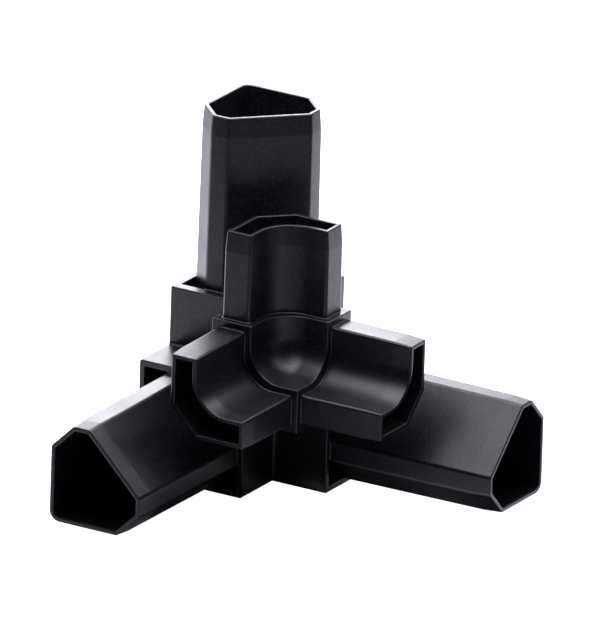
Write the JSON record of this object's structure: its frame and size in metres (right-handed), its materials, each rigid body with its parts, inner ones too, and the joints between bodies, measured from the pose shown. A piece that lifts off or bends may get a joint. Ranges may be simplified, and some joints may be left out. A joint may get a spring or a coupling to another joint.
{
  "type": "corner connector",
  "caption": "Moulded corner connector for a square frame profile, with hollow outer spigots in open collars and hollow-faced inner spigots round a common hub.",
  "frame": {"origin": "outer corner, where the planes of the three outer faces meet", "axes": "+X, +Y and +Z each run out along one leg; the part rests on its outer face at Z = 0"},
  "size_m": [0.15, 0.15, 0.15],
  "materials": {
    "black_nylon": "satin, fine moulded grain"
  },
  "bodies": {
    "root": {"corner_connector": "black_nylon"}
  },
  "joints": []
}
